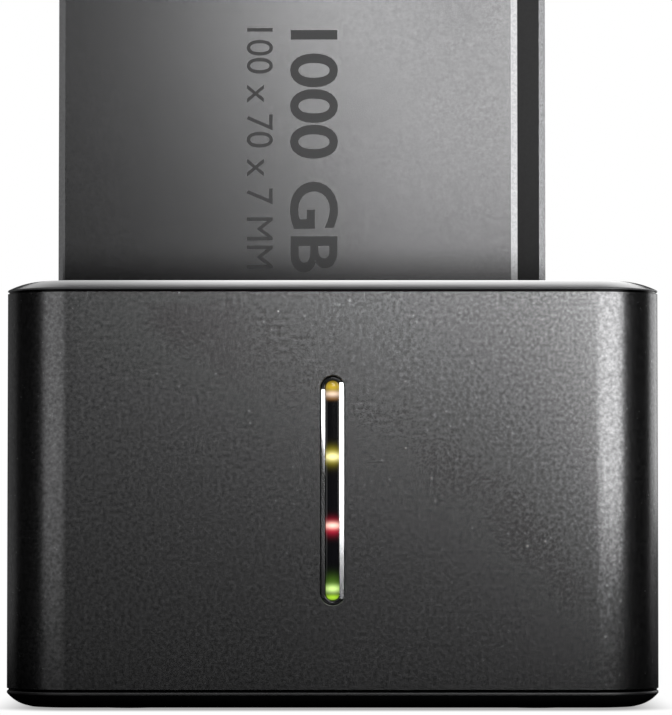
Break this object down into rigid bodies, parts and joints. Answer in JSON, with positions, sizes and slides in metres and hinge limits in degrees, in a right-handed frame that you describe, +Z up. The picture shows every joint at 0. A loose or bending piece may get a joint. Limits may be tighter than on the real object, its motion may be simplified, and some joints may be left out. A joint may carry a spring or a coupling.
{
  "type": "hard drive docking station",
  "caption": "Upright docking station with a dark grained sleeve, round corners and a chrome-edged light window, with drives standing in staggered bays.",
  "frame": {"origin": "middle of the case's outline, on the plane the feet stand on", "axes": "+X to the right seen from the front, +Y to the back, +Z up along the docked drives"},
  "size_m": [0.098, 0.066, 0.1343],
  "materials": {
    "sleeve_metal": "dark anodised, fine grain",
    "satin_black": "satin black",
    "base_black": "matte black",
    "well_black": "matte black",
    "foot_rubber": "matte",
    "screw_steel": "plain zinc",
    "chrome_trim": "mirror chrome",
    "smoke_lens": "dark smoked clear",
    "amber_light": "lit amber lens",
    "yellow_light": "lit yellow lens",
    "red_light": "lit red lens",
    "green_light": "lit green lens",
    "board_green": "solder mask",
    "part_black": "moulded black",
    "chip_black": "moulded chip body",
    "contact_gold": "gold plated",
    "can_metal": "plain can",
    "port_metal": "nickel plated",
    "rocker_black": "moulded gloss",
    "button_grey": "moulded matte",
    "drive_metal": "bead blasted grey"
  },
  "bodies": {
    "dock": {"outer_sleeve": "sleeve_metal", "top_cover": "satin_black", "base_tray": "base_black", "rubber_feet": "foot_rubber", "case_screws": "screw_steel", "front_bay_well": "well_black", "rear_bay_well": "well_black", "bay_screws": "screw_steel", "led_bezel": "chrome_trim", "light_bar": "smoke_lens", "light_baffle": "part_black", "led_board": "board_green", "led_board_screws": "screw_steel", "amber_led": "amber_light", "yellow_led": "yellow_light", "red_led": "red_light", "green_led": "green_light", "led_header": "part_black", "led_header_pins": "contact_gold", "main_board": "board_green", "board_screws": "screw_steel", "front_sata_socket": "part_black", "rear_sata_socket": "part_black", "front_sata_contacts": "contact_gold", "rear_sata_contacts": "contact_gold", "bridge_chip": "chip_black", "support_chips": "chip_black", "capacitors": "can_metal", "power_inductors": "chip_black", "crystal": "can_metal", "rear_panel": "base_black", "panel_screws": "screw_steel", "usb_shell": "port_metal", "usb_core": "part_black", "dc_jack": "part_black", "dc_jack_pin": "port_metal", "power_switch_case": "part_black", "power_switch_terminals": "contact_gold", "copy_switch": "part_black"},
    "front_drive": {"front_drive_cover": "drive_metal", "front_drive_back": "drive_metal", "front_drive_board": "board_green", "front_drive_chips": "chip_black", "front_drive_plug": "part_black", "front_drive_contacts": "contact_gold", "front_drive_screws": "screw_steel"},
    "rear_drive": {"rear_drive_cover": "drive_metal", "rear_drive_back": "drive_metal", "rear_drive_board": "board_green", "rear_drive_chips": "chip_black", "rear_drive_plug": "part_black", "rear_drive_contacts": "contact_gold", "rear_drive_screws": "screw_steel"},
    "power_rocker": {"power_rocker": "rocker_black"},
    "copy_button": {"copy_button": "button_grey", "copy_plunger": "can_metal"}
  },
  "joints": [
    {"name": "front_drive_lift", "type": "slide", "parent": "dock", "child": "front_drive", "axis": [0, 0, 1], "range_m": [0, 0.034]},
    {"name": "rear_drive_lift", "type": "slide", "parent": "dock", "child": "rear_drive", "axis": [0, 0, 1], "range_m": [0, 0.034]},
    {"name": "power_rocker_turn", "type": "hinge", "parent": "dock", "child": "power_rocker", "pos_m": [-0.021, 0.0298, 0.02775], "axis": [0, 0, 1], "range_deg": [0, 18]},
    {"name": "copy_button_press", "type": "slide", "parent": "dock", "child": "copy_button", "axis": [0, -1, 0], "range_m": [0, 0.001], "stiffness_N_per_m": 300, "springref_m": -0.001}
  ]
}
